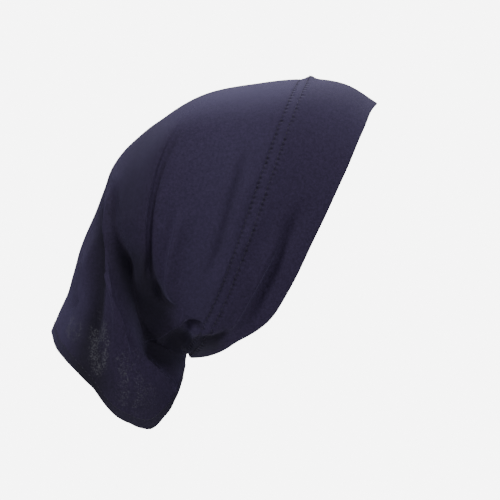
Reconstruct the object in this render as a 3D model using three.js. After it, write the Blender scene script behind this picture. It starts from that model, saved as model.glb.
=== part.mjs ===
import * as THREE from "three";

// Tube cap of stretch jersey, as worn: a front band, one tube that covers the crown and hangs
// as a pouch at the back, and the narrow turned hem round the pouch's open end.
// Sizes in mm. +X is toward the front edge, +Z is up, Y runs across, and the near side is -Y.

// Driving sizes
const BAND_WALL = 2.2; // two layers of jersey, drawn as one wall
const TUBE_WALL = 1.5; // one layer
const HEM_WALL = 2.6; // the edge turned once and stitched
const RAISE = 0.45; // how far the band and the hem stand proud of the tube
const SEAM_CLEARANCE = 0.3; // between neighbouring pieces
const BAND_END = 2; // section where the band meets the tube
const HEM_TOP = 0.24; // width of the hem at the top of the rim, in sections
const HEM_BOTTOM = 0.62; // the same below, where the sections lie closer together
const AROUND = 48; // points round the cap
const NARROWEST_FOLD = 6; // what the grid can still show

// The cap is a run of closed sections from the front edge to the rear rim.
// Each has a side curve with four control points, from its top down to its bottom, and a half width.
// skew moves the widest point up or down, and squareness under 1 makes the sides flatter.
// prettier-ignore
const SECTIONS = [
  // name, top x, z, upper x, z, lower x, z, bottom x, z, half width, skew, squareness
  ["front edge", 65, -13.5, 25.5, -69.5, 13, -184, -66, -190.8, 72, 0.25, 1],
  ["band middle", 42.5, 0, 8.5, -56, -7.5, -177, -66.9, -189.2, 74, 0.22, 1],
  ["seam", 16, 4, -8, -41, -39, -170.5, -67.6, -188.4, 76, 0.18, 1],
  ["crown", -16, 1.5, -51, -45.5, -56, -159, -68, -188.1, 76.5, 0.12, 0.97],
  ["back crown", -57, -7, -100, -51, -97.5, -148, -68.3, -188, 74, 0.06, 0.92],
  ["back", -93, -29, -125.5, -96, -105, -174.5, -68.5, -188.2, 71, 0, 0.88],
  ["shoulder", -117.5, -52.5, -133, -122.5, -110, -196, -68.7, -188.6, 68, 0, 0.86],
  ["pouch top", -130, -83, -138.5, -150.5, -107, -220, -68.8, -189.4, 67, 0, 0.86],
  ["pouch middle", -142.5, -113, -140.5, -171.5, -101, -242.5, -69, -190.8, 67, 0, 0.86],
  ["pouch low", -151.5, -143.5, -141.5, -187, -93, -264.5, -69.5, -193.8, 68, 0, 0.86],
  ["rim", -164.5, -174, -135.5, -204.5, -85.5, -282.5, -70.2, -198, 70, 0, 0.86],
];

// Folds as seen from the side: a curve with four control points, the height above the cloth
// (negative for a crease), and how fast it dies out on the back and on the front of the curve.
// prettier-ignore
const FOLDS = [
  // name, x, z of the four points, height, width behind, width in front
  ["band valley",    17,  -75,   -3, -102,   -9, -135,  -23, -164,  -3.4,  6.3,  5.6],
  ["band ridge",      4,  -98,  -13, -120,  -23, -146,  -36, -171,   2.8,  7.0,  4.6],
  ["crown valley",  -26,  -37,  -36,  -65,  -40,  -93,  -53, -120,  -1.7,  5.0,  4.6],
  ["side crest",    -60,  -18,  -95,  -41, -102, -115,  -82, -149,   4.6,  9.8,  4.6],
  ["side crease",   -62,  -27,  -87,  -64,  -92, -120,  -72, -156,  -2.8,  6.0,  8.5],
  ["tuck roll",     -70,  -84,  -66, -107,  -83, -131,  -75, -154,   2.6,  6.0,  6.5],
  ["pouch crest",  -121,  -62, -121, -108, -102, -150,  -89, -193,   6.0, 11.2,  6.0],
  ["valley neck",  -116,  -79, -113, -102, -108, -124,  -97, -144,  -3.0,  6.0,  8.0],
  ["pouch valley", -109, -117,  -97, -144,  -80, -170,  -76, -200, -12.0,  8.0, 14.0],
  ["back valley",  -124,  -94, -124, -126, -122, -163, -140, -192,  -8.5,  9.8,  5.0],
  ["back ridge",   -122,  -68, -132,  -94, -139, -122, -147, -149,   2.0,  6.3,  4.9],
  ["nape ridge",    -69, -163,  -75, -169,  -81, -174,  -86, -180,   4.0,  4.9,  4.6],
  ["nape hollow",   -70, -173,  -74, -181,  -79, -187,  -82, -196,  -5.0,  6.3,  6.3],
  ["lobe crease",   -65, -177,  -56, -176,  -42, -178,  -37, -166,  -3.0,  4.6,  4.6],
];
const FOLD_STEPS = 18; // straight pieces that stand for a fold's curve

// Where an edge leaves its section's smooth curve, as bell curves of t, the way down that curve.
// prettier-ignore
const FRONT_WAVES = [
  // place, width, mm that the cloth reaches past the curve (negative where it falls short)
  [0.04, 0.04, -1.4],
  [0.22, 0.08, 0.9],
  [0.47, 0.09, -1.1],
  [0.71, 0.07, 1.8],
  [0.84, 0.045, -2.4],
  [0.96, 0.04, 2.0],
];
// prettier-ignore
const RIM_WAVES = [
  // place, width, mm
  [0.0, 0.03, -2.5],
  [0.06, 0.05, 2.6],
  [0.13, 0.06, 1.4],
  [0.33, 0.05, -2.0],
  [0.47, 0.05, 1.0],
  [0.7, 0.05, 1.0],
  [0.81, 0.04, -1.1],
];
const EDGE_REACH = 1.5; // sections over which an edge's waves die out
const SHORTEST_SECTION = 14; // mm, so that a wave stays small where the sections crowd together
const SEAM_RIDGE = 0.35; // the seam allowance under the band, mm high at the side
const SEAM_BUMP = 1.9; // and this much more at the top, where it isn't stretched flat
const SEAM_SPREAD = 3.4; // its width
const SEAM_PLACE = -1.6; // its crest lies this far ahead of the seam

const clamp = (v, low, high) => Math.min(high, Math.max(low, v));

// Smooth step from 0 at a to 1 at b.
function fade(a, b, v) {
  const t = clamp((v - a) / (b - a), 0, 1);
  return t * t * (3 - 2 * t);
}

// The numbers of the section at a place along the cap, blended smoothly between table rows.
function sectionAt(along) {
  const last = SECTIONS.length - 1;
  const i = clamp(Math.floor(along), 0, last - 1);
  const t = along - i;
  const numbers = [];
  for (let c = 1; c < SECTIONS[0].length; c++) {
    const b = SECTIONS[i][c];
    const d = SECTIONS[i + 1][c];
    const a = i > 0 ? SECTIONS[i - 1][c] : 2 * b - d;
    const e = i + 2 <= last ? SECTIONS[i + 2][c] : 2 * d - b;
    const linear = (d - a) * t;
    const square = (2 * a - 5 * b + 4 * d - e) * t * t;
    const cube = (3 * b - a - 3 * d + e) * t * t * t;
    numbers.push(0.5 * (2 * b + linear + square + cube));
  }
  return numbers;
}

function bezier(t, a, b, c, d) {
  const s = 1 - t;
  return s * s * s * a + 3 * s * s * t * b + 3 * s * t * t * c + t * t * t * d;
}

// A point of the smooth cloth. The angle is 0 at the top, pi at the bottom and pi / 2 on the near side.
function smoothPoint(along, angle) {
  const n = sectionAt(along);
  const t = (1 - Math.cos(angle)) / 2;
  const s = Math.sin(angle + n[9] * Math.sin(angle));
  const y = -n[8] * Math.sign(s) * Math.pow(Math.abs(s), n[10]);
  return new THREE.Vector3(bezier(t, n[0], n[2], n[4], n[6]), y, bezier(t, n[1], n[3], n[5], n[7]));
}

function outward(along, angle) {
  const e = 1e-3;
  const onward = smoothPoint(along + e, angle).sub(smoothPoint(along - e, angle));
  const round = smoothPoint(along, angle + e).sub(smoothPoint(along, angle - e));
  return onward.cross(round).normalize();
}

// Each fold's curve, cut into straight pieces.
const foldPaths = FOLDS.map(([, ...n]) => {
  const points = [];
  for (let k = 0; k <= FOLD_STEPS; k++) {
    const t = k / FOLD_STEPS;
    points.push([bezier(t, n[0], n[2], n[4], n[6]), bezier(t, n[1], n[3], n[5], n[7])]);
  }
  return { points, height: n[8], behind: n[9], ahead: n[10] };
});

// How far the folds lift or sink the cloth at a point seen from the side.
function foldLift(x, z) {
  let total = 0;
  for (const { points, height, behind, ahead } of foldPaths) {
    let best = Infinity;
    let side = 1;
    let place = 0;
    for (let k = 0; k < FOLD_STEPS; k++) {
      const [ax, az] = points[k];
      const dx = points[k + 1][0] - ax;
      const dz = points[k + 1][1] - az;
      const w = clamp(((x - ax) * dx + (z - az) * dz) / (dx * dx + dz * dz), 0, 1);
      const gap = Math.hypot(x - ax - w * dx, z - az - w * dz);
      if (gap < best) {
        best = gap;
        side = Math.sign(dx * (z - az) - dz * (x - ax));
        place = (k + w) / FOLD_STEPS;
      }
    }
    const q = best / Math.max(side < 0 ? behind : ahead, NARROWEST_FOLD);
    total += height * Math.exp(-q * q) * fade(0, 0.3, place) * fade(1, 0.7, place);
  }
  return total;
}

// How many mm one section is long at a place.
function sectionLength(along, angle) {
  const e = 0.01;
  return smoothPoint(along + e, angle).distanceTo(smoothPoint(along - e, angle)) / (2 * e);
}

// How far an edge reaches past its section's curve, in mm. The far side has the waves elsewhere.
function edgeWave(waves, angle) {
  const down = (1 - Math.cos(angle)) / 2;
  const t = Math.sin(angle) < 0 ? down + 0.07 * Math.sin(7 * down) : down;
  let total = 0;
  for (const [place, width, reach] of waves) {
    const q = (t - place) / width;
    total += reach * Math.exp(-q * q);
  }
  return total;
}

// The place along the cap after the edges' waves, which fade out away from the edges.
function waved(along, angle) {
  const last = SECTIONS.length - 1;
  const front = edgeWave(FRONT_WAVES, angle) / Math.max(sectionLength(0, angle), SHORTEST_SECTION);
  const rear = edgeWave(RIM_WAVES, angle) / Math.max(sectionLength(last, angle), SHORTEST_SECTION);
  return along - front * fade(EDGE_REACH, 0, along) + rear * fade(last - EDGE_REACH, last, along);
}

// The ridge over the seam, highest at the top.
function seamLift(along, angle, share) {
  const gap = (along - BAND_END) * sectionLength(BAND_END, angle) - SEAM_PLACE;
  const top = Math.cos(angle) > 0 ? fade(0.45, 0.05, share) : 0;
  return (SEAM_RIDGE + SEAM_BUMP * top) * Math.exp(-((gap / SEAM_SPREAD) ** 2));
}

// A point of the folded cloth, raised from it by the given height.
// The far side carries the same folds, bent a little so that it isn't a mirror copy.
function clothPoint(place, angle, raise) {
  const along = waved(place, angle);
  const p = smoothPoint(along, angle);
  const share = Math.abs(p.y) / sectionAt(along)[8];
  const far = p.y > 0 ? fade(0, 0.6, share) : 0;
  const x = p.x + far * (7 * Math.sin(p.z / 27) + 4 * Math.sin(p.z / 13 + p.x / 40));
  const z = p.z + far * 9 * Math.sin(x / 31);
  const folds = foldLift(x, z) * fade(0.2, 0.8, share);
  const height = raise + folds + seamLift(along, angle, share);
  return p.addScaledVector(outward(along, angle), height);
}

// A closed wall of cloth between two edges, each given as a function of the angle.
function clothWall(from, to, rows, wall, raise) {
  const positions = [];
  const index = [];
  const layers = [raise, raise - wall];
  for (const height of layers) {
    for (let r = 0; r <= rows; r++) {
      for (let c = 0; c < AROUND; c++) {
        const angle = (2 * Math.PI * c) / AROUND;
        const along = from(angle) + ((to(angle) - from(angle)) * r) / rows;
        positions.push(...clothPoint(along, angle, height));
      }
    }
  }
  const vertex = (layer, r, c) => (layer * (rows + 1) + r) * AROUND + (c % AROUND);
  const quad = (a, b, c, d) => index.push(a, b, c, a, c, d);
  // A quad's diagonal runs the way the folds do, which is mirrored on the far side.
  for (let c = 0; c < AROUND; c++) {
    for (let r = 0; r < rows; r++) {
      const outer = [vertex(0, r, c), vertex(0, r + 1, c), vertex(0, r + 1, c + 1), vertex(0, r, c + 1)];
      const inner = [vertex(1, r, c), vertex(1, r, c + 1), vertex(1, r + 1, c + 1), vertex(1, r + 1, c)];
      if (c < AROUND / 2) {
        outer.push(outer.shift());
        inner.push(inner.shift());
      }
      quad(...outer);
      quad(...inner);
    }
    quad(vertex(0, 0, c), vertex(0, 0, c + 1), vertex(1, 0, c + 1), vertex(1, 0, c));
    quad(vertex(0, rows, c), vertex(1, rows, c), vertex(1, rows, c + 1), vertex(0, rows, c + 1));
  }
  const geometry = new THREE.BufferGeometry();
  geometry.setAttribute("position", new THREE.Float32BufferAttribute(positions, 3));
  geometry.setIndex(index);
  geometry.computeVertexNormals();
  return geometry;
}

function piece(name, geometry, color) {
  const mesh = new THREE.Mesh(geometry, new THREE.MeshStandardMaterial({ color, roughness: 0.9 }));
  mesh.name = name;
  return mesh;
}

const rim = SECTIONS.length - 1;
const hemStart = (angle) => rim - HEM_TOP - ((HEM_BOTTOM - HEM_TOP) * (1 - Math.cos(angle))) / 2;
const halfGap = (along, angle) => SEAM_CLEARANCE / 2 / sectionLength(along, angle);
const beforeSeam = (angle) => BAND_END - halfGap(BAND_END, angle);
const afterSeam = (angle) => BAND_END + halfGap(BAND_END, angle);
const beforeHem = (angle) => hemStart(angle) - halfGap(hemStart(angle), angle);
const afterHem = (angle) => hemStart(angle) + halfGap(hemStart(angle), angle);

const cap = new THREE.Group();
cap.name = "tube_cap";
cap.add(piece("face_band", clothWall(() => 0, beforeSeam, 8, BAND_WALL, RAISE), 0x33304a));
cap.add(piece("tube_body", clothWall(afterSeam, beforeHem, 48, TUBE_WALL, 0), 0x2c2a40));
cap.add(piece("rear_hem", clothWall(afterHem, () => rim, 2, HEM_WALL, RAISE), 0x26253a));
export default cap;
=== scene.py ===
"""Tube cap of stretch jersey as worn: a doubled front band, a tube that covers the crown and hangs
as a pouch, a turned hem round the pouch's rim, and the stitches that hold them together.

Tables are in mm in the frame's own axes: +X toward the front edge, +Z up, near side -Y.
"""

import math

import bpy
import numpy as np
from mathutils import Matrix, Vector


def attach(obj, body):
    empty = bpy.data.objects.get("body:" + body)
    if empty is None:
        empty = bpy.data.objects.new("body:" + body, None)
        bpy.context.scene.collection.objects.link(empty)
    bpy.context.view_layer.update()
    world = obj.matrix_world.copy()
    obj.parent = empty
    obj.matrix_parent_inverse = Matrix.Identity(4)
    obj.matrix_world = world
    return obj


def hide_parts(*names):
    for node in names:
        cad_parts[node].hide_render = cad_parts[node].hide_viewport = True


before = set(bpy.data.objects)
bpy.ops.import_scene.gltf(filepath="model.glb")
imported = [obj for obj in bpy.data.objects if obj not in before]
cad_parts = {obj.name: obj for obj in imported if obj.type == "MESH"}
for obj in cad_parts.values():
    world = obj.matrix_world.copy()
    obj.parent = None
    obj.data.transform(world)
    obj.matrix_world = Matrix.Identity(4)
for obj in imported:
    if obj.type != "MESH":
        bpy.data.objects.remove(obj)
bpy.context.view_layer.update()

MM = 0.001  # a mm of the tables in the scene's metres

# Driving sizes, in mm where no other unit is named
BAND_END = 2.0  # section where the band is sewn to the tube
RAISE = 0.45  # how far the band stands proud of the tube
BAND_THICKNESS = 1.7  # two layers of jersey
TUBE_THICKNESS = 0.75  # one layer
HEM_THICKNESS = 1.6  # the edge turned once
HEM_RAISE = 0.15  # the hem stands proud by less, since its cloth hangs free
HEM_TOP = 0.24  # width of the hem at the top of the rim, in sections
HEM_BOTTOM = 0.62  # the same below, where the sections lie closer together
STITCH_LENGTH = 1.9
STITCH_PITCH = 3.6
STITCH_THICKNESS = 0.6
ROW_AHEAD = 1.1  # twin-needle rows: this far ahead of the band's edge
ROW_BEHIND = 5.7  # and this far behind it
ROW_GROOVE = 0.35  # how far a row of stitches draws the cloth in
TUCK = 1.6  # the tube goes this far inside the band and the hem
SEWN_GAP = 0.15  # between a sewn line and the doubled cloth beside it
SEAM_STITCH_LIFT = 0.12  # the middle of a stitch above its cloth
HEM_STITCH_LIFT = 0.05
HEM_STITCH_PLACE = 0.12  # the hem's stitches, in shares of its width from the tube

# Grids
COLUMNS = 216  # round the cap
SIDE_CROWDING = 0.3  # the columns lie closer at the sides, where the folds are, by this share
SEAM_ROWS = 24  # the tube's rows over the grooves beside the seam
SEAM_SHARE = 0.05  # the share of its length that they cover
OPEN_ROWS = 205  # its rows over the rest
SEAM_ROW = 2  # the tube's row that lies nearest the band's edge
BAND_ROWS = 44  # in each layer
HEM_ROWS = 8
TURN_POINTS = 5  # across the half-round turn at an edge of doubled cloth
END_MARGIN = 0.02  # sections' lengths at an edge are measured this far inside the ends

SECTION_COLUMNS = (
    "top_x top_z upper_x upper_z lower_x lower_z bottom_x bottom_z half_width skew squareness"
).split()
SECTIONS = np.array([
    (65.0, -13.5, 25.5, -69.5, 13.0, -184.0, -66.0, -190.8, 72.0, 0.25, 1.00),  # front edge
    (42.5, 0.0, 8.5, -56.0, -7.5, -177.0, -66.9, -189.2, 74.0, 0.22, 1.00),  # band middle
    (16.0, 4.0, -8.0, -41.0, -39.0, -170.5, -67.6, -188.4, 76.0, 0.18, 1.00),  # seam
    (-16.0, 1.5, -51.0, -45.5, -56.0, -159.0, -68.0, -188.1, 76.5, 0.12, 0.97),  # crown
    (-57.0, -7.0, -100.0, -51.0, -97.5, -148.0, -68.3, -188.0, 74.0, 0.06, 0.92),  # back crown
    (-93.0, -29.0, -125.5, -96.0, -105.0, -174.5, -68.5, -188.2, 71.0, 0.00, 0.88),  # back
    (-117.5, -52.5, -133.0, -122.5, -110.0, -196.0, -68.7, -188.6, 68.0, 0.00, 0.86),  # shoulder
    (-130.0, -83.0, -138.5, -150.5, -107.0, -220.0, -68.8, -189.4, 67.0, 0.00, 0.86),  # pouch top
    (-142.5, -113.0, -140.5, -171.5, -101.0, -242.5, -69.0, -190.8, 67.0, 0.00, 0.86),  # pouch middle
    (-151.5, -143.5, -141.5, -187.0, -93.0, -264.5, -69.5, -193.8, 68.0, 0.00, 0.86),  # pouch low
    (-164.5, -174.0, -135.5, -204.5, -85.5, -282.5, -70.2, -198.0, 70.0, 0.00, 0.86),  # rim
])
RIM = len(SECTIONS) - 1.0

# Folds seen from the side: four control points (x, z), height above the cloth (negative for a
# crease), how fast it dies out behind and in front of the curve, how far it leans forward, and the
# share of painted shade in it, darker colour for light that doesn't get in. Rows of height 0 only paint
# shade.
FOLDS = [
    # name, x, z of the four points, height, width behind, width in front, lean, painted shade
    ("band valley", 17, -76, 0, -109, -17, -141, -29, -176, -4.2, 4.9, 5.6, 0.0, 0.12),
    ("band hollow", -19, -128, -27, -145, -36, -163, -49, -178, -2.2, 4.2, 3.5, 0.0, 0.15),
    ("band ridge", 1, -100, -17, -128, -30, -159, -51, -185, 3.4, 6.3, 2.4, 1.0, 0),
    ("seam ridge", -16, -85, -24, -114, -50, -133, -56, -163, 1.2, 4.2, 3.5, 0.0, 0),
    ("crown valley", -24, -41, -35, -73, -40, -108, -55, -139, -3.0, 3.5, 3.1, 0.0, 0.2),
    ("crown ridge", -22, -55, -30, -80, -39, -104, -49, -129, 1.2, 4.9, 5.6, 0.0, 0),
    ("soft ridge", -61, -41, -70, -59, -74, -79, -75, -99, 1.2, 5.6, 7.0, 0.0, 0),
    ("side crest", -62, -18, -92, -34, -110, -122, -89, -149, 3.0, 4.9, 1.7, 3.0, 0),
    ("side crease", -67, -28, -88, -55, -104, -123, -80, -152, -2.2, 1.1, 1.7, 0.0, 0.25),
    ("lower crease", -92, -106, -93, -125, -88, -144, -75, -158, -2.8, 3.5, 1.7, 0.0, 0.3),
    ("tuck roll", -73, -84, -69, -99, -91, -142, -75, -155, 4.4, 1.5, 6.3, -0.4, 0),
    ("tuck notch", -87, -137, -87, -144, -80, -166, -71, -151, -4.0, 1.8, 1.7, 0.0, 0.6),
    ("pouch crest", -130, -62, -137, -108, -119, -154, -104, -197, 5.0, 8.4, 2.1, 6.0, 0),
    ("pouch line", -124, -71, -125, -86, -125, -101, -122, -116, 1.3, 1.7, 1.5, 0.8, 0),
    ("pouch hair line", -120, -71, -124, -87, -119, -104, -116, -120, 1.0, 1.4, 1.4, 0.6, 0),
    ("valley neck", -117, -65, -124, -93, -115, -120, -103, -144, -6.0, 2.8, 4.9, 0.0, 0.2),
    ("pouch valley", -121, -97, -114, -132, -96, -166, -81, -198, -13.0, 7.0, 16.8, 0.0, 1.0),
    ("back valley", -126, -71, -133, -110, -127, -150, -132, -189, -8.0, 6.3, 3.5, 0.0, 1.0),
    ("back hollow", -131, -149, -135, -177, -135, -206, -137, -234, -3.0, 11.9, 12.6, 0.0, 0.85),
    ("back crest", -122, -75, -125, -111, -119, -147, -118, -183, 2.2, 1.5, 7.0, -1.2, 0),
    ("back ridge", -122, -68, -132, -95, -139, -122, -146, -149, 2.0, 6.3, 4.9, 0.0, 0),
    ("corner crease", -153, -155, -149, -153, -145, -150, -140, -149, -1.6, 2.1, 2.8, 0.0, 0.15),
    ("corner ridge", -153, -162, -146, -168, -144, -177, -137, -183, 1.2, 3.5, 3.5, 0.0, 0),
    ("hem crest", -95, -185, -93, -198, -77, -203, -74, -216, 2.4, 3.5, 1.8, 0.8, 0),
    ("hem crease a", -85, -197, -82, -201, -79, -206, -75, -210, -1.0, 1.3, 1.3, 0.0, 0.15),
    ("hem crease b", -82, -195, -78, -200, -75, -204, -73, -209, -0.9, 1.3, 1.3, 0.0, 0.15),
    ("nape ridge", -66, -159, -75, -166, -84, -175, -93, -183, 5.6, 3.5, 1.5, 2.0, 0),
    ("nape hollow", -61, -174, -72, -181, -84, -185, -95, -191, -9.0, 7.0, 9.1, 0.0, 1.0),
    ("nape lens", -71, -169, -66, -164, -59, -165, -55, -170, -5.0, 1.8, 1.7, 0.0, 0.8),
    ("nape shade", -110, -111, -102, -133, -92, -157, -73, -171, -4.0, 7.7, 8.4, 0.0, 0.85),
    ("nape roll", -68, -170, -61, -172, -53, -173, -48, -169, 2.4, 3.1, 3.5, 0.0, 0),
    ("lobe crease", -65, -177, -56, -176, -42, -177, -37, -166, -3.2, 2.8, 2.5, 0.0, 0.6),
    ("foot shade", -152, -170, -130, -197, -99, -254, -65, -201, 0, 15.4, 14.0, 0.0, 0.45),
    ("back crown shade", -75, -14, -102, -43, -115, -83, -109, -122, 0, 15.4, 14.0, 0.0, 0.5),
    ("notch shade", -94, -174, -84, -184, -73, -192, -65, -204, 0, 8.4, 8.4, 0.0, 0.7),
    ("lobe shade", -76, -185, -64, -182, -50, -182, -39, -175, 0, 6.3, 6.3, 0.0, 0.9),
]
FOLD_STEPS = 28  # straight pieces that stand for a fold's curve

# Where the pouch's jersey is worn so thin that light comes through its loops
THIN_PLACES = [
    # name, x, z of the middle, half size in x and z, share
    ("valley foot", -127, -180, 9, 25, 1.1),
    ("left of the valley", -145, -169, 7, 10, 1.1),
    ("pouch side, upper", -108, -192, 12, 13, 0.75),
    ("pouch side, lower", -102, -213, 16, 17, 0.75),
]
MOST_WORN = 1.1  # the shares add up to this at most
DOUBLED_WEAR = 0.5  # doubled cloth is thin by this share of what one layer is

# Where an edge leaves its section's smooth curve, as bell curves of t, the way down that curve:
# place, width, and how far the cloth reaches past the curve in mm (negative where it falls short).
FRONT_WAVES = [
    (0.04, 0.04, -1.4),
    (0.22, 0.08, 0.9),
    (0.47, 0.09, -1.1),
    (0.71, 0.07, 1.8),
    (0.84, 0.045, -2.4),
    (0.96, 0.04, 2.0),
]
RIM_WAVES = [
    (0.00, 0.03, -2.5),
    (0.06, 0.05, 2.6),
    (0.13, 0.06, 1.4),
    (0.33, 0.05, -2.0),
    (0.47, 0.05, 1.0),
    (0.57, 0.03, -0.5),
    (0.70, 0.05, 1.0),
    (0.81, 0.04, -1.1),
]
FOLD_FADE = 0.3  # the share of a fold's line over which it fades at each end
EDGE_REACH = 1.5  # sections over which an edge's waves die out
SHORTEST_SECTION = 14.0  # mm, so that a wave stays small where the sections crowd together
SEAM_RIDGE = 0.35  # the seam allowance under the band, mm high at the side
SEAM_BUMP = 1.9  # and this much more at the top, where it isn't stretched flat
SEAM_SPREAD = 3.4
SEAM_PLACE = -1.6  # its crest lies this far ahead of the seam


def fade(low, high, value):
    """Smooth step: 3 t squared minus 2 t cubed, with t running from 0 at low to 1 at high."""
    t = np.clip((value - low) / (high - low), 0, 1)
    return t * t * (3 - 2 * t)


def section_at(along):
    """The numbers of the section at each place along the cap: a Catmull-Rom spline through the
    table's rows, whose ends are carried on in a straight line."""
    last = len(SECTIONS) - 1
    i = np.clip(np.floor(along).astype(int), 0, last - 1)
    t = (along - i)[..., None]
    b, d = SECTIONS[i], SECTIONS[i + 1]
    a = np.where((i > 0)[..., None], SECTIONS[np.maximum(i - 1, 0)], 2 * b - d)
    e = np.where((i + 2 <= last)[..., None], SECTIONS[np.minimum(i + 2, last)], 2 * d - b)
    curve = 2 * b + (d - a) * t + (2 * a - 5 * b + 4 * d - e) * t**2 + (3 * b - a - 3 * d + e) * t**3
    return dict(zip(SECTION_COLUMNS, np.moveaxis(curve / 2, -1, 0)))


def bezier(t, a, b, c, d):
    """Cubic Bezier curve: the four values weighted by the Bernstein polynomials of t."""
    s = 1 - t
    return s**3 * a + 3 * s * s * t * b + 3 * s * t * t * c + t**3 * d


def smooth_cloth(along, angle):
    """The cloth without folds. t = (1 - cos angle) / 2 runs down the section's side curve, and
    y is the half width times the sine of the skewed angle, raised to the squareness."""
    s = section_at(along)
    t = (1 - np.cos(angle)) / 2
    x = bezier(t, s["top_x"], s["upper_x"], s["lower_x"], s["bottom_x"])
    z = bezier(t, s["top_z"], s["upper_z"], s["lower_z"], s["bottom_z"])
    wave = np.sin(angle + s["skew"] * np.sin(angle))
    y = -s["half_width"] * np.sign(wave) * np.abs(wave) ** s["squareness"]
    return np.stack([x, y, z], -1)


def outward(along, angle):
    """Unit normal of the smooth cloth: the cross product of its two slopes. It holds past both
    ends too, where the edges' waves reach."""
    e = 1e-3
    onward = smooth_cloth(along + e, angle) - smooth_cloth(along - e, angle)
    around = smooth_cloth(along, angle + e) - smooth_cloth(along, angle - e)
    n = np.cross(onward, around)
    return n / np.linalg.norm(n, axis=-1, keepdims=True)


def folds_at(x, z):
    """Height of all folds at a point seen from the side, their lean in x and z, and how much shade is
    painted in them. Each is a bell curve of the distance to the fold's line, with its own width on either
    side, faded at both ends of the line. The lean goes square to the line, toward its front."""
    total, lean_x, lean_z, painted_shade = (np.zeros_like(x) for _ in range(4))
    for _, ax, az, bx, bz, cx, cz, dx, dz, height, behind, ahead, lean, painted_shade_share in FOLDS:
        t = np.linspace(0, 1, FOLD_STEPS + 1)
        px, pz = bezier(t, ax, bx, cx, dx), bezier(t, az, bz, cz, dz)
        best = np.full_like(x, np.inf)
        side, place = np.zeros_like(x), np.zeros_like(x)
        way_x, way_z = np.zeros_like(x), np.zeros_like(x)
        for k in range(FOLD_STEPS):
            lx, lz = px[k + 1] - px[k], pz[k + 1] - pz[k]
            w = np.clip(((x - px[k]) * lx + (z - pz[k]) * lz) / (lx * lx + lz * lz), 0, 1)
            gap = np.hypot(x - px[k] - w * lx, z - pz[k] - w * lz)
            nearer = gap < best
            turn = np.sign(lx * (z - pz[k]) - lz * (x - px[k]))
            best = np.where(nearer, gap, best)
            side = np.where(nearer, turn, side)
            place = np.where(nearer, (k + w) / FOLD_STEPS, place)
            way_x, way_z = np.where(nearer, lx, way_x), np.where(nearer, lz, way_z)
        q = best / np.where(side < 0, behind, ahead)
        bell = np.exp(-q * q) * fade(0, FOLD_FADE, place) * fade(1, 1 - FOLD_FADE, place)
        total += height * bell
        painted_shade += painted_shade_share * bell
        way = np.hypot(way_x, way_z)
        lean_x -= lean * bell * way_z / way
        lean_z += lean * bell * way_x / way
    return total, lean_x, lean_z, painted_shade


def ripple(x, z):
    """Slight unevenness of jersey that hangs free: crossed sine waves, up to about 0.35 mm high,
    that grow toward the pouch."""
    waves = np.sin(x / 5.1 + 1.7 * np.sin(z / 23)) * np.sin(z / 17 + 0.8 * np.sin(x / 9))
    waves = waves + 0.6 * np.sin(x / 2.9 + z / 8.3 + 1.3 * np.sin(z / 11))
    return 0.22 * waves * fade(-40, -130, x)


def gathers(along, angle):
    """Soft gathers down the back of the pouch: dips of up to 2.4 mm, as (cosine - 1) / 2 of seven
    times the angle bent by sines, from a fifth of a turn inward."""
    near_top = fade(1.25, 0.5, np.abs((angle + math.pi) % (2 * math.pi) - math.pi))
    bent = 7 * angle + 1.3 * np.sin(angle) * np.sin(1.1 * along)
    return 1.2 * (np.cos(bent) - 1) * near_top * fade(4.6, 7.0, along)


def edge_wave(waves, angle):
    """Sum of the bell curves of an edge at t = (1 - cos angle) / 2, each offset times
    exp(-((t - place) / width) squared). On the far side t is shifted by a sine of itself."""
    t = (1 - np.cos(angle)) / 2
    t = t + np.where(np.sin(angle) < 0, 0.07 * np.sin(7 * t), 0)
    return sum(offset * np.exp(-(((t - place) / width) ** 2)) for place, width, offset in waves)


def waved(along, angle):
    """The place along the cap after the edges' waves, which fade out over EDGE_REACH sections."""
    front_length = section_length(np.zeros_like(along), angle)
    rear_length = section_length(np.full_like(along, RIM), angle)
    front = edge_wave(FRONT_WAVES, angle) / np.maximum(front_length, SHORTEST_SECTION)
    rear = edge_wave(RIM_WAVES, angle) / np.maximum(rear_length, SHORTEST_SECTION)
    return along - front * fade(EDGE_REACH, 0, along) + rear * fade(RIM - EDGE_REACH, RIM, along)


def seam_lift(along, angle, share):
    """The ridge over the seam, highest at the top, and the grooves of its two rows of stitches:
    bell curves of the distance to their crests."""
    gap = (along - BAND_END) * section_length(np.full_like(along, BAND_END), angle)
    top = fade(0.45, 0.05, share) * (np.cos(angle) > 0)
    ridge = (SEAM_RIDGE + SEAM_BUMP * top) * np.exp(-(((gap - SEAM_PLACE) / SEAM_SPREAD) ** 2))
    return ridge - ROW_GROOVE * (np.exp(-((gap + ROW_AHEAD) ** 2)) + np.exp(-((gap - ROW_BEHIND) ** 2)))


def folded(along, angle, height):
    """The folded cloth, raised by height, and the shade painted in its creases, from 0 to 1. The far
    side carries the same folds, bent a little."""
    along = waved(np.asarray(along, dtype=float), angle)
    p = smooth_cloth(along, angle)
    share = np.abs(p[..., 1]) / section_at(along)["half_width"]
    far = np.where(p[..., 1] > 0, fade(0, 0.6, share), 0)
    x, z = p[..., 0], p[..., 2]
    x = x + far * (7 * np.sin(z / 27) + 4 * np.sin(z / 13 + x / 40))
    z = z + far * 9 * np.sin(x / 31)
    total, lean_x, lean_z, painted_shade = folds_at(x, z)
    side = fade(0.2, 0.8, share)
    lift = height + total * side + ripple(x, z) + gathers(along, angle) + seam_lift(along, angle, share)
    lean = np.stack([lean_x * side, np.zeros_like(x), lean_z * side], -1)
    points = p + lean + lift[..., None] * outward(along, angle)
    return points, np.clip(painted_shade * fade(0.05, 0.4, share), 0, 1)


def cloth(along, angle, height):
    """The points of the folded cloth alone."""
    return folded(along, angle, height)[0]


def section_length(along, angle):
    """How many mm one section is long: the distance between two points a little apart."""
    e = 0.01
    step = smooth_cloth(along + e, angle) - smooth_cloth(along - e, angle)
    return np.linalg.norm(step, axis=-1) / (2 * e)


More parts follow.
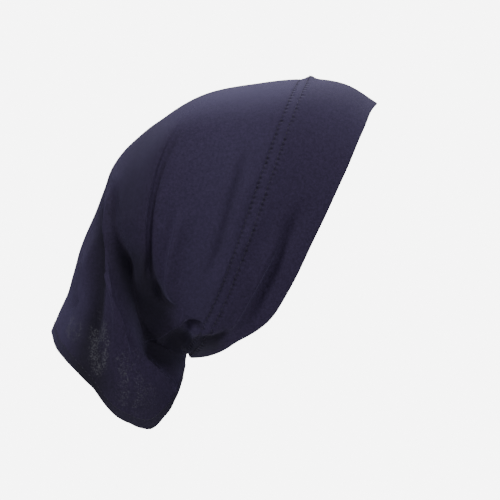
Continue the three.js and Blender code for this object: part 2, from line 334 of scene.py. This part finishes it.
def hem_start(angle):
    """Where the hem begins: its width grows from the top value to the bottom one as 1 - cos."""
    return RIM - HEM_TOP - (HEM_BOTTOM - HEM_TOP) * (1 - np.cos(angle)) / 2


def painted_light_share(points, along, angle):
    """Painted light on the jersey, from 0 to 1: the greatest of three shares. Smooth steps along the cap
    and of the cosine of the angle give the crown 1 at its top, where sheen is painted, and half of that
    ahead of the seam. All round it is 0.22 just behind the seam, and 0.45 at the pouch's back edge,
    where a rim of light is painted."""
    behind_seam = fade(1.6, 2.6, along)
    crown = (1 - fade(3.4, 6.0, along)) * fade(0.5, 1.0, np.cos(angle)) * (0.5 + 0.5 * behind_seam)
    side = 0.22 * behind_seam * (1 - fade(2.8, 4.2, along))
    x, z = points[..., 0], points[..., 2]
    back = fade(-126, -152, x + 0.25 * (z + 130)) * fade(-195, -165, z)
    return np.maximum(np.maximum(crown, side), 0.45 * back)


def thinness(points):
    """Where the jersey of the pouch is worn thin: the sum of ellipses that fade from their middles
    out, each given by its middle, its half sizes and its share, on both sides of the cap. The sum
    stops at MOST_WORN."""
    x, z = points[..., 0], points[..., 2]
    total = np.zeros_like(x)
    for _, mid_x, mid_z, half_x, half_z, share in THIN_PLACES:
        q = ((x - mid_x) / half_x) ** 2 + ((z - mid_z) / half_z) ** 2
        total += share * fade(1.3, 0.3, q)
    return np.clip(total, 0, MOST_WORN)


def write_share(mesh, name, values):
    """A share at each vertex, as an attribute for the materials."""
    attribute = mesh.attributes.new(name, "FLOAT", "POINT")
    attribute.data.foreach_set("value", np.asarray(values, dtype=np.float32).reshape(-1))


def tube_mesh(name, points, coordinates, close_rows=False):
    """A mesh from a grid of points whose columns go round the cap. coordinates are the cloth's own
    (way round, way along) in mm, one column more than the points, and become the UV map."""
    rows, columns = points.shape[:2]
    last = rows if close_rows else rows - 1
    r, c = np.meshgrid(np.arange(last), np.arange(columns), indexing="ij")
    r2, c2 = r + 1, c + 1
    quads = np.stack([
        r * columns + c, (r2 % rows) * columns + c,
        (r2 % rows) * columns + c2 % columns, r * columns + c2 % columns,
    ], -1).reshape(-1, 4)
    corners = np.stack([coordinates[r, c], coordinates[r2, c], coordinates[r2, c2], coordinates[r, c2]], -2)
    mesh = bpy.data.meshes.new(name)
    mesh.from_pydata((points.reshape(-1, 3) * MM).tolist(), [], quads.tolist())
    mesh.uv_layers.new(name="cloth").data.foreach_set("uv", corners.reshape(-1).astype(np.float32) * MM)
    mesh.polygons.foreach_set("use_smooth", np.ones(len(quads), dtype=bool))
    mesh.update()
    piece = bpy.data.objects.new(name, mesh)
    bpy.context.collection.objects.link(piece)
    return piece


def walk(place_of):
    """The way walked round the cap on a line across it: fine angles, and the summed distance to
    each."""
    fine = np.linspace(0, 2 * math.pi, 2881)
    line = cloth(place_of(fine), fine, np.zeros(fine.shape))
    return fine, np.append(0, np.cumsum(np.linalg.norm(np.diff(line, axis=0), axis=1)))


def own_coordinates(points, angle, zero_row, line):
    """Cloth coordinates of a grid: X is the way walked round on the given line, and Y the summed
    distance down each column, counted from the given row."""
    steps = np.linalg.norm(np.diff(points, axis=0), axis=-1)
    down = np.vstack([np.zeros((1, points.shape[1])), np.cumsum(steps, axis=0)])
    down = np.hstack([down, down[:, :1]])
    turn = np.interp(np.append(angle, 2 * math.pi), *walk(line))
    return np.stack([np.broadcast_to(turn, down.shape), down - down[zero_row]], -1)


def front_line(angle):
    """The front edge: the first section."""
    return np.zeros(np.shape(angle))


def seam_line(angle):
    """Where the band is sewn to the tube."""
    return np.full(np.shape(angle), BAND_END)


def rim_line(angle):
    """The pouch's rim: the last section."""
    return np.full(np.shape(angle), RIM)


def beside(line, offset):
    """A line across the cap that lies beside another, at an offset in mm along the cap."""
    return lambda angle: line(angle) + offset / section_length(line(angle), angle)


def hem_row(angle):
    """The line of the hem's stitches, beside its edge toward the tube."""
    start = hem_start(angle)
    return start + HEM_STITCH_PLACE * (RIM - start)


def column_angles():
    """Angles round the cap: equal steps, moved by a sine so that they crowd at the sides."""
    angle = np.linspace(0, 2 * math.pi, COLUMNS, endpoint=False)
    return angle + SIDE_CROWDING / 2 * np.sin(2 * angle)


def doubled(name, from_edge, to_edge, rows, thickness, height, zero_row, line):
    """A doubled strip of cloth between two edges: the outer layer, a half-round turn at the far
    edge, the inner layer, and a half-round turn back, as one closed grid. Its own coordinates count
    from zero_row along the cap, and on the given line round it."""
    angle = column_angles()
    turn = np.linspace(0, math.pi, TURN_POINTS + 2)[1:-1]
    radius = thickness / 2
    start, end = from_edge(angle), to_edge(angle)
    inset_start = radius / section_length(np.clip(start, END_MARGIN, RIM - END_MARGIN), angle)
    inset_end = radius / section_length(np.clip(end, END_MARGIN, RIM - END_MARGIN), angle)
    first, last = start + inset_start, end - inset_end
    out = first + (last - first) * np.linspace(0, 1, rows)[:, None]
    bulge = np.sin(turn)[:, None]
    place = np.concatenate([out, last + inset_end * bulge, out[::-1], first - inset_start * bulge])
    heights = np.concatenate([
        np.full(rows, height),
        height - radius + radius * np.cos(turn),
        np.full(rows, height - thickness),
        height - radius - radius * np.cos(turn),
    ])
    angles = np.broadcast_to(angle, place.shape)
    points, painted_shade = folded(place, angles, heights[:, None] + np.zeros(COLUMNS))
    closed = np.concatenate([points, points[:1]])
    piece = tube_mesh(name, points, own_coordinates(closed, angle, zero_row, line), close_rows=True)
    write_share(piece.data, "painted_light", painted_light_share(points, place, angles))
    write_share(piece.data, "thin", DOUBLED_WEAR * thinness(points))
    write_share(piece.data, "painted_shade", painted_shade)
    return piece


def one_layer(name):
    """The tube: one layer from the seam to the hem, tucked in at both ends, with closer rows over
    the grooves beside the seam. Solidify gives it its thickness."""
    angle = column_angles()
    seam_shares = np.linspace(0, SEAM_SHARE, SEAM_ROWS, endpoint=False)
    open_shares = np.linspace(SEAM_SHARE, 1, OPEN_ROWS)
    shares = np.concatenate([seam_shares, open_shares])[:, None]
    start, end = beside(seam_line, -TUCK)(angle), beside(hem_start, TUCK)(angle)
    place = start + (end - start) * shares
    angles = np.broadcast_to(angle, place.shape)
    points, painted_shade = folded(place, angles, np.zeros_like(place))
    piece = tube_mesh(name, points, own_coordinates(points, angle, SEAM_ROW, seam_line))
    write_share(piece.data, "painted_shade", painted_shade)
    write_share(piece.data, "painted_light", painted_light_share(points, place, angles))
    write_share(piece.data, "thin", thinness(points))
    layer = piece.modifiers.new("one layer of jersey", "SOLIDIFY")
    layer.thickness = TUBE_THICKNESS * MM
    layer.offset = -1
    return piece


tube = one_layer("tube_jersey")
band = doubled(
    "band_jersey", front_line, beside(seam_line, -SEWN_GAP),
    BAND_ROWS, BAND_THICKNESS, RAISE, BAND_ROWS - 1, seam_line,
)
hem = doubled(
    "hem_jersey", beside(hem_start, SEWN_GAP), rim_line,
    HEM_ROWS, HEM_THICKNESS, HEM_RAISE, 0, hem_start,
)


def along_row(place_of, height, line):
    """Points on a line round the cap, with that line's direction, found from a point a little
    further on, and the cloth's outward direction. They lie at equal steps of the way walked on the
    line that the cloth coordinates use."""
    fine, walked = walk(line)
    count = round(walked[-1] / STITCH_PITCH)
    at = np.interp((np.arange(count) + 0.5) * walked[-1] / count, walked, fine)
    further = at + 0.004
    here = cloth(place_of(at), at, np.full(at.shape, height))
    way = cloth(place_of(further), further, np.full(at.shape, height)) - here
    way /= np.linalg.norm(way, axis=1, keepdims=True)
    up = outward(place_of(at), at)
    up -= way * np.sum(up * way, axis=1, keepdims=True)
    up /= np.linalg.norm(up, axis=1, keepdims=True)
    return here, way, up


def stitches(name, rows):
    """All stitches of some rows as one mesh. Each is a spindle of three rings of six points and
    two tips, stretched along its row and sunk a little at both ends."""
    ring_place = np.array([-0.36, 0.0, 0.36])
    ring_size = np.array([0.75, 1.0, 0.75])
    sink = -0.55 * STITCH_THICKNESS
    around = np.arange(6) * math.pi / 3
    along_axis = np.concatenate([[-0.5], np.repeat(ring_place, 6), [0.5]]) * STITCH_LENGTH
    across = np.concatenate([[0], np.outer(ring_size, np.cos(around)).ravel(), [0]]) * STITCH_THICKNESS / 2
    above = np.concatenate([[sink], np.outer(ring_size, np.sin(around)).ravel(), [sink]])
    above[1:-1] *= STITCH_THICKNESS / 2
    each = len(along_axis)
    faces = []
    for k in range(6):
        n = (k + 1) % 6
        faces.append((0, 1 + n, 1 + k))
        faces.append((each - 1, 13 + k, 13 + n))
        for ring in (1, 7):
            faces.append((ring + k, ring + n, ring + 6 + n))
            faces.append((ring + k, ring + 6 + n, ring + 6 + k))
    points, polygons, first = [], [], 0
    for here, way, up in rows:
        side = np.cross(way, up)
        body = (here[:, None] + way[:, None] * along_axis[:, None]
                + side[:, None] * across[:, None] + up[:, None] * above[:, None])
        points.append(body.reshape(-1, 3))
        offsets = first + np.arange(len(here))[:, None, None] * each
        polygons.append((np.array(faces)[None] + offsets).reshape(-1, 3))
        first += len(here) * each
    mesh = bpy.data.meshes.new(name)
    mesh.from_pydata((np.concatenate(points) * MM).tolist(), [], np.concatenate(polygons).tolist())
    mesh.polygons.foreach_set("use_smooth", np.ones(len(mesh.polygons), dtype=bool))
    mesh.update()
    piece = bpy.data.objects.new(name, mesh)
    bpy.context.collection.objects.link(piece)
    return piece


seam_stitches = stitches("seam_stitches", [
    along_row(beside(seam_line, -ROW_AHEAD), RAISE + SEAM_STITCH_LIFT, seam_line),
    along_row(beside(seam_line, ROW_BEHIND), SEAM_STITCH_LIFT, seam_line),
])
hem_stitches = stitches("hem_stitches", [
    along_row(hem_row, HEM_RAISE + HEM_STITCH_LIFT, hem_start),
])


# Materials
def add(tree, kind, inputs=(), **settings):
    """One node with its settings, and its inputs given as values or as sockets to link from."""
    node = tree.nodes.new(kind)
    for key, value in settings.items():
        setattr(node, key, value)
    for key, value in dict(inputs).items():
        if isinstance(value, bpy.types.NodeSocket):
            tree.links.new(value, node.inputs[key])
        else:
            node.inputs[key].default_value = value
    return node


def calculate(tree, operation, *values):
    """A Math node on one to three values or sockets."""
    return add(tree, "ShaderNodeMath", dict(enumerate(values)), operation=operation).outputs[0]


def blend(tree, factor, first, second):
    """Two colours mixed: the first at a factor of 0 and the second at 1."""
    inputs = {"Factor": factor, "A": first, "B": second}
    return add(tree, "ShaderNodeMix", inputs, data_type="RGBA").outputs["Result"]


def noise(tree, scale, detail, roughness=0.5):
    """A noise on the object's coordinates, from 0 to 1."""
    place = add(tree, "ShaderNodeTexCoord").outputs["Object"]
    inputs = {"Vector": place, "Scale": scale, "Detail": detail, "Roughness": roughness}
    return add(tree, "ShaderNodeTexNoise", inputs).outputs["Fac"]


def cloth_place(tree):
    """The cloth's own coordinates, as sockets X and Y in metres."""
    uv = add(tree, "ShaderNodeUVMap", uv_map="cloth").outputs["UV"]
    return add(tree, "ShaderNodeSeparateXYZ", {0: uv}).outputs


def new_group(name, inputs, outputs):
    """A node group of numbers, its inputs' sockets and its outputs' sockets."""
    tree = bpy.data.node_groups.new(name, "ShaderNodeTree")
    for label, usual in inputs.items():
        socket = tree.interface.new_socket(label, in_out="INPUT", socket_type="NodeSocketFloat")
        socket.default_value = usual
    for label in outputs:
        tree.interface.new_socket(label, in_out="OUTPUT", socket_type="NodeSocketFloat")
    return tree, tree.nodes.new("NodeGroupInput").outputs, tree.nodes.new("NodeGroupOutput").inputs


def knit_group():
    """Jersey seen close: wales run along the cap and courses run round it, as two sine waves whose
    lengths are given in mm, and a noise makes the yarn uneven. Puts out a height, and a tint that a
    coarser noise clouds, both about 0 to 1."""
    usual = {"Wale": 1.0, "Course": 0.8, "Unevenness": 0.5}
    tree, given, out = new_group("Jersey knit", usual, ("Height", "Tint"))
    place = cloth_place(tree)
    waves = []
    for axis, length in (("X", "Wale"), ("Y", "Course")):
        turned = calculate(tree, "MULTIPLY", place[axis], 2 * math.pi / MM)
        waves.append(calculate(tree, "SINE", calculate(tree, "DIVIDE", turned, given[length])))
    loops = calculate(tree, "MULTIPLY_ADD", calculate(tree, "MULTIPLY", *waves), 0.35, 0.5)
    yarn = calculate(tree, "SUBTRACT", noise(tree, 900.0, 3.0, 0.6), 0.5)
    uneven = calculate(tree, "MULTIPLY", yarn, given["Unevenness"])
    tree.links.new(calculate(tree, "ADD", loops, uneven), out["Height"])
    clouded = calculate(tree, "ADD", noise(tree, 560.0, 3.0, 0.7), uneven)
    tree.links.new(calculate(tree, "MULTIPLY_ADD", clouded, 1.9, -0.45), out["Tint"])
    return tree


def dimples_group():
    """The pits that a row of stitches pulls into jersey. Across the row each is a bell curve of the
    distance to the row's place, and along it a power of a cosine with the stitch pitch, deepest
    between two stitches, which a noise makes uneven. Lengths are in mm. Puts out a mask, about 0
    to 1."""
    usual = {"Row": 0.0, "Pitch": STITCH_PITCH, "Width": 1.2}
    tree, given, out = new_group("Stitch dimples", usual, ("Mask",))
    place = cloth_place(tree)
    x = calculate(tree, "DIVIDE", place["X"], MM)
    y = calculate(tree, "DIVIDE", place["Y"], MM)
    gap = calculate(tree, "DIVIDE", calculate(tree, "SUBTRACT", y, given["Row"]), given["Width"])
    square = calculate(tree, "MULTIPLY", gap, gap)
    bell = calculate(tree, "EXPONENT", calculate(tree, "MULTIPLY", square, -1.0))
    turn = calculate(tree, "MULTIPLY", calculate(tree, "DIVIDE", x, given["Pitch"]), 2 * math.pi)
    beat = calculate(tree, "MULTIPLY_ADD", calculate(tree, "COSINE", turn), 0.5, 0.5)
    uneven = calculate(tree, "MULTIPLY_ADD", noise(tree, 240.0, 1.0), 2.8, -0.7)
    pits = calculate(tree, "MULTIPLY", calculate(tree, "POWER", beat, 1.5), uneven)
    along = calculate(tree, "MULTIPLY_ADD", pits, 0.9, 0.1)
    tree.links.new(calculate(tree, "MULTIPLY", bell, along), out["Mask"])
    return tree


def specks_group():
    """Light that comes through worn jersey: a noise a few loops wide, cut off at a level that falls
    as the attribute thin rises, which a coarser noise breaks up. Puts out a mask from 0 to 1, held
    down where thin is below 1."""
    tree, given, out = new_group("Worn specks", {"Fineness": 900.0, "Level": 0.60}, ("Mask",))
    share = add(tree, "ShaderNodeAttribute", attribute_name="thin").outputs["Fac"]
    patchy = {"Value": noise(tree, 150.0, 2.0), "From Min": 0.32, "From Max": 0.55}
    patches = add(tree, "ShaderNodeMapRange", patchy).outputs["Result"]
    thin = calculate(tree, "MULTIPLY", share, patches)
    low = calculate(tree, "MULTIPLY_ADD", thin, -0.16, given["Level"])
    high = calculate(tree, "ADD", low, 0.22)
    loops = {"Value": noise(tree, given["Fineness"], 2.0, 0.6), "From Min": low, "From Max": high}
    specks = add(tree, "ShaderNodeMapRange", loops).outputs["Result"]
    limit = calculate(tree, "MINIMUM", thin, 1.0)
    tree.links.new(calculate(tree, "MULTIPLY", specks, limit), out["Mask"])
    return tree


KNIT = knit_group()
DIMPLES = dimples_group()
SPECKS = specks_group()
KNIT_DEPTH = 0.4 * MM
PIT_DEPTH = 0.7 * MM
JERSEY_COLOURS = ((0.015, 0.0105, 0.030, 1), (0.032, 0.0230, 0.059, 1))  # tube and band: dark, light
HEM_COLOURS = ((0.013, 0.0105, 0.024, 1), (0.027, 0.0220, 0.046, 1))
PAINTED_LIGHT_COLOUR = (0.060, 0.053, 0.112, 1)  # painted sheen and light: paler jersey at the crown's top and the pouch's back edge
PAINTED_PIT_SHADE_COLOUR = (0.004, 0.003, 0.007, 1)  # painted shade in the pits beside a stitch
PAINTED_FOLD_SHADE_COLOUR = (0.006, 0.006, 0.009, 1)  # painted shade deep in a fold
THROUGH_COLOUR = (0.085, 0.085, 0.10, 1)  # light seen through worn loops


def jersey(name, dark, light, bump, row=None):
    """Matte jersey. The knit group shades between two close colours and lifts the surface. By the
    attributes, painted light makes the jersey paler, most at the crown's top, painted shade makes it
    darker in folds, and the specks group paints light seen through where it is worn. Along a row of
    stitches, given in mm from the seam, the dimples group sinks it and paints shade into its pits."""
    material = bpy.data.materials.new(name)
    material.use_nodes = True
    tree = material.node_tree
    shader = tree.nodes["Principled BSDF"]
    knit = add(tree, "ShaderNodeGroup", node_tree=KNIT).outputs
    tint = calculate(tree, "MINIMUM", calculate(tree, "MAXIMUM", knit["Tint"], 0.0), 1.0)
    painted_light = add(tree, "ShaderNodeAttribute", attribute_name="painted_light").outputs["Fac"]
    painted_shade_share = add(tree, "ShaderNodeAttribute", attribute_name="painted_shade").outputs["Fac"]
    through_light = add(tree, "ShaderNodeGroup", node_tree=SPECKS).outputs["Mask"]
    loops = {"Height": knit["Height"], "Strength": bump, "Distance": KNIT_DEPTH}
    lift = add(tree, "ShaderNodeBump", loops)
    colour = blend(tree, tint, dark, light)
    # Painted light: paler colour at the crown's top and the pouch's back edge.
    colour = blend(tree, calculate(tree, "MULTIPLY", painted_light, 0.6), colour, PAINTED_LIGHT_COLOUR)
    if row is not None:
        walked = walk(seam_line)[1][-1]
        spacing = {"Row": row, "Pitch": walked / round(walked / STITCH_PITCH)}
        pits = add(tree, "ShaderNodeGroup", spacing, node_tree=DIMPLES).outputs["Mask"]
        # Painted shade in the stitches' pits, weaker where light is painted.
        painted_pit_shade = calculate(tree, "MULTIPLY", pits, calculate(tree, "MULTIPLY_ADD", painted_light, -0.5, 0.65))
        colour = blend(tree, painted_pit_shade, colour, PAINTED_PIT_SHADE_COLOUR)
        hollows = {"Height": pits, "Strength": 1.0, "Distance": PIT_DEPTH}
        sink = add(tree, "ShaderNodeBump", hollows, invert=True)
        tree.links.new(sink.outputs["Normal"], lift.inputs["Normal"])
    # Painted shade: darker colour deep in the folds.
    colour = blend(tree, calculate(tree, "MULTIPLY", painted_shade_share, 0.7), colour, PAINTED_FOLD_SHADE_COLOUR)
    # Painted light: pale specks where light shows through the worn loops.
    colour = blend(tree, calculate(tree, "MULTIPLY", through_light, 0.6), colour, THROUGH_COLOUR)
    tree.links.new(colour, shader.inputs["Base Color"])
    tree.links.new(lift.outputs["Normal"], shader.inputs["Normal"])
    shader.inputs["Roughness"].default_value = 0.85
    shader.inputs["Specular IOR Level"].default_value = 0.2
    shader.inputs["Sheen Weight"].default_value = 0.1
    shader.inputs["Sheen Roughness"].default_value = 0.4
    shader.inputs["Sheen Tint"].default_value = (0.55, 0.5, 1.0, 1)
    return material


def even_material(name, colour, roughness):
    """One colour all over, for thread and floor."""
    material = bpy.data.materials.new(name)
    material.use_nodes = True
    shader = material.node_tree.nodes["Principled BSDF"]
    shader.inputs["Base Color"].default_value = colour
    shader.inputs["Roughness"].default_value = roughness
    return material


tube.data.materials.append(jersey("tube jersey", *JERSEY_COLOURS, 0.5, ROW_BEHIND))
band.data.materials.append(jersey("band jersey", *JERSEY_COLOURS, 0.45, -ROW_AHEAD))
hem.data.materials.append(jersey("hem jersey", *HEM_COLOURS, 0.5))
thread = even_material("sewing thread", (0.015, 0.012, 0.028, 1), 0.8)
for piece in (seam_stitches, hem_stitches):
    piece.data.materials.append(thread)

# Each piece hangs from the root body, and the CAD part that a cloth piece stands for is hidden
for piece, node, slot in (
    (tube, "tube_body", "tube_jersey"),
    (band, "face_band", "band_jersey"),
    (hem, "rear_hem", "hem_jersey"),
):
    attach(piece, "root")
    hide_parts(node)
for piece, slot in ((seam_stitches, "tube_jersey"), (hem_stitches, "hem_jersey")):
    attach(piece, "root")

# Floor, light and camera
FLOOR_Z = -0.75
bpy.ops.mesh.primitive_circle_add(vertices=96, radius=1.1, fill_type="NGON", location=(0, 0, FLOOR_Z))
floor = bpy.context.object
floor.name = "studio_floor"
floor.data.materials.append(even_material("pale floor", (0.85, 0.85, 0.85, 1), 0.9))

AMBIENT = 0.05  # strength of the pale room's light on the cloth
BACKGROUND = 7.0  # how bright the same room looks behind it
world = bpy.data.worlds.new("studio")
bpy.context.scene.world = world
world.use_nodes = True
room = world.node_tree
seen = add(room, "ShaderNodeLightPath").outputs["Is Camera Ray"]
strength = add(room, "ShaderNodeMapRange", {"Value": seen, "To Min": AMBIENT, "To Max": BACKGROUND})
room.nodes["Background"].inputs["Color"].default_value = (1, 1, 1, 1)
room.links.new(strength.outputs["Result"], room.nodes["Background"].inputs["Strength"])


def softbox(name, place, target, size, power):
    """A square area light aimed at a point."""
    data = bpy.data.lights.new(name, "AREA")
    data.size = size
    data.energy = power
    light = bpy.data.objects.new(name, data)
    light.location = place
    light.rotation_euler = (Vector(target) - Vector(place)).to_track_quat("-Z", "Y").to_euler()
    bpy.context.collection.objects.link(light)


MIDDLE = (-0.05, 0, -0.12)
SOFTBOX_SIZE = 0.6
LIGHTS = [
    # name, place, watts
    ("overhead softbox", (0.25, -0.3, 1.3), 16),
    ("back light", (0.1, 0.8, 1.1), 12),
    ("left softbox", (-1.5, -1.1, 0.5), 22),
    ("right softbox", (1.5, -1.0, 0.4), 10),
    ("level fill", (0.1, -1.9, 0.0), 8),
]
for name, place, watts in LIGHTS:
    softbox(name, place, MIDDLE, SOFTBOX_SIZE, watts)

# The photograph's frame: 0.70 mm to a pixel at the cap's middle plane, seen level from the side
PIXEL = 0.0007
IMAGE_SIDE = 500  # pixels
ORIGIN_PIXEL = (285, 85)  # where the frame's origin is in it
CAMERA_DISTANCE = 2.0
camera_data = bpy.data.cameras.new("camera")
camera = bpy.data.objects.new("camera", camera_data)
bpy.context.collection.objects.link(camera)
camera_x = (IMAGE_SIDE / 2 - ORIGIN_PIXEL[0]) * PIXEL
camera_z = (ORIGIN_PIXEL[1] - IMAGE_SIDE / 2) * PIXEL
camera.location = (camera_x, -CAMERA_DISTANCE, camera_z)
camera.rotation_euler = (math.pi / 2, 0, 0)
camera_data.lens = camera_data.sensor_width * CAMERA_DISTANCE / (IMAGE_SIDE * PIXEL)
bpy.context.scene.camera = camera
